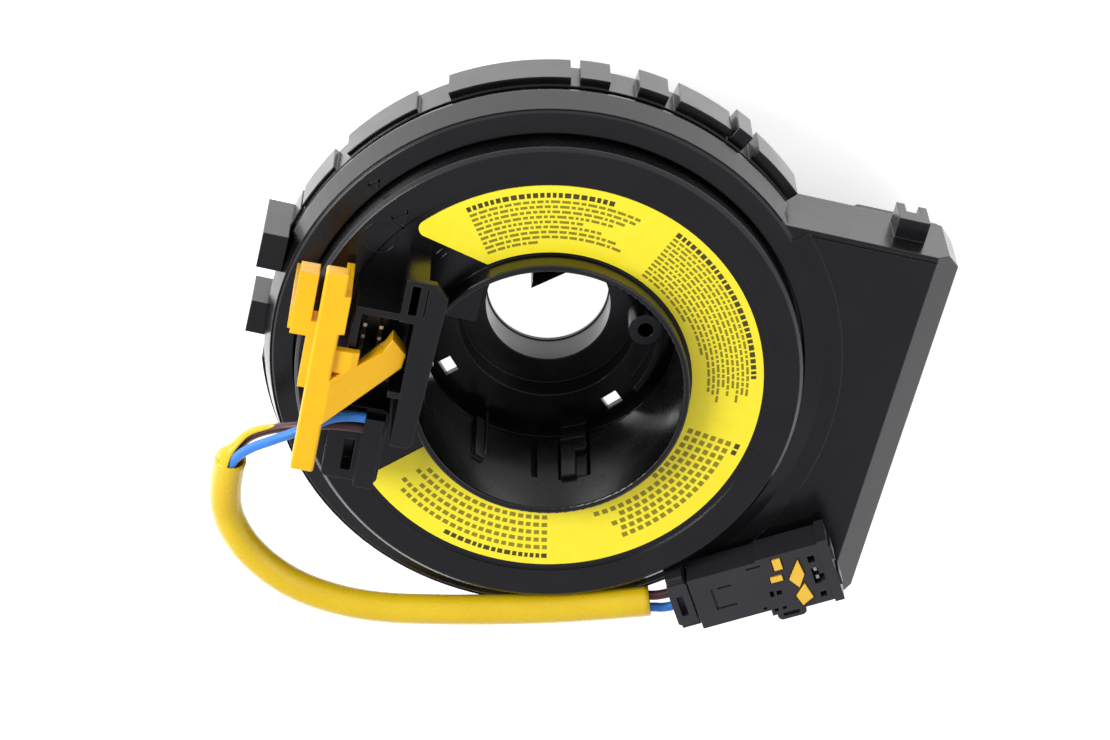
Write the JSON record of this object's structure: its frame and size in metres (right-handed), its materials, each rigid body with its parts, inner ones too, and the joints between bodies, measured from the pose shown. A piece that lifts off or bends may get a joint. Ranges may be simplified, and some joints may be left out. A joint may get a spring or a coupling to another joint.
{
  "type": "steering clock spring",
  "caption": "Rotary connector for a steering column: ring housing with a harness wing, turning rotor with a labelled face, lock clip and a sleeved lead that ends in a plug.",
  "frame": {"origin": "on the rotor's axis, at the open end of the neck, which is the level that the neck and the harness sockets stand on", "axes": "+Z along the rotor's axis from the neck towards the label, +X from the axis along the harness wing, +Y completes the frame"},
  "size_m": [0.1244, 0.1129, 0.0556],
  "materials": {
    "black_plastic": "gloss",
    "dark_plastic": "satin",
    "white_plastic": "satin",
    "contact_metal": "satin",
    "clear_film": "satin",
    "ribbon_film": "satin",
    "label_film": "satin",
    "blue_wire": "satin",
    "brown_wire": "satin",
    "sleeve_pvc": "satin",
    "yellow_plastic": "satin",
    "orange_plastic": "gloss"
  },
  "bodies": {
    "stator": {"front_cover": "black_plastic", "rear_housing": "black_plastic", "main_socket": "black_plastic", "main_pins": "contact_metal", "airbag_socket": "black_plastic", "airbag_pins": "contact_metal", "upper_slip_sheet": "clear_film", "lower_slip_sheet": "clear_film", "outer_cable_holder": "white_plastic", "ribbon_cable": "ribbon_film"},
    "rotor": {"rotor_disc": "black_plastic", "rotor_tower": "black_plastic", "lower_hub": "black_plastic", "label": "label_film", "connector_insert": "black_plastic", "rotor_pins": "contact_metal", "cable_cover": "black_plastic", "inner_cable_holder": "white_plastic", "blue_wire": "blue_wire", "brown_wire": "brown_wire", "wire_sleeve": "sleeve_pvc", "plug_cap": "dark_plastic", "plug_body": "dark_plastic", "plug_lock": "yellow_plastic", "plug_latch": "dark_plastic", "plug_terminals": "contact_metal"},
    "clip": {"lock_clip": "orange_plastic"}
  },
  "joints": [
    {"name": "rotor_turn", "type": "hinge", "parent": "stator", "child": "rotor", "pos_m": [0, 0, 0], "axis": [0, 0, 1], "range_deg": [-900, 900]},
    {"name": "clip_pull", "type": "slide", "parent": "rotor", "child": "clip", "axis": [0, 0, 1], "range_m": [0, 0.03]}
  ]
}
